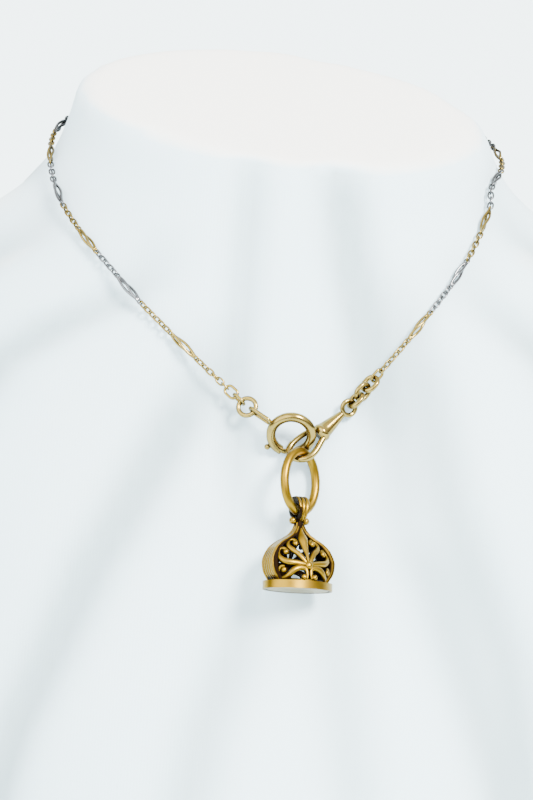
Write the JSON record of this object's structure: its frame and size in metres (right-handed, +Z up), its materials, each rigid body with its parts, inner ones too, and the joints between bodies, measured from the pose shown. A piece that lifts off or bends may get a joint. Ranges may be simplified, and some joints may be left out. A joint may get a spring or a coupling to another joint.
{
  "type": "watch fob and chain on neck bust",
  "caption": "Plain white neck bust wearing a two-tone watch chain of fine and cage-shaped links, closed by a bolt ring and swivel clip, with a pierced oval seal fob on a stout oval ring.",
  "frame": {"origin": "on the underside of the base, on the axis of the neck, at the level of the surface that it stands on", "axes": "+Z up, +X to the bust's left arm side (right in the picture), -Y to the front"},
  "size_m": [0.2242, 0.201, 0.2262],
  "materials": {
    "bust_cloth": "plain white jersey cloth",
    "chain_gold_metal": "polished pale yellow gold",
    "white_metal": "polished silver-grey white metal",
    "fob_gold": "satin yellow gold with dark recesses",
    "seal_plate": "plain pale polished plate"
  },
  "bodies": {
    "stand": {"neck_bust": "bust_cloth", "chain_gold": "chain_gold_metal", "chain_white": "white_metal", "end_ring": "chain_gold_metal", "end_link_1": "chain_gold_metal", "end_link_2": "chain_gold_metal", "bolt_ring": "chain_gold_metal", "swivel_eye": "chain_gold_metal", "swivel_hook": "chain_gold_metal", "big_link_1": "chain_gold_metal", "big_link_2": "chain_gold_metal", "big_link_3": "chain_gold_metal", "medium_link": "chain_gold_metal", "oval_ring": "fob_gold", "seal_mount": "fob_gold", "seal_face": "seal_plate"},
    "bolt": {"bolt_trigger": "chain_gold_metal"},
    "gate": {"swivel_gate": "chain_gold_metal"}
  },
  "joints": [
    {"name": "bolt_slide", "type": "hinge", "parent": "stand", "child": "bolt", "pos_m": [0.00815, -0.09181, 0.15949], "axis": [-0.0182, 0.9945, 0.1031], "range_deg": [0, 38], "stiffness_Nm_per_rad": 0.00002},
    {"name": "gate_hinge", "type": "hinge", "parent": "stand", "child": "gate", "pos_m": [0.01293, -0.08927, 0.15961], "axis": [-0.1634, -0.5656, 0.8083], "range_deg": [0, 20], "stiffness_Nm_per_rad": 0.00002}
  ]
}
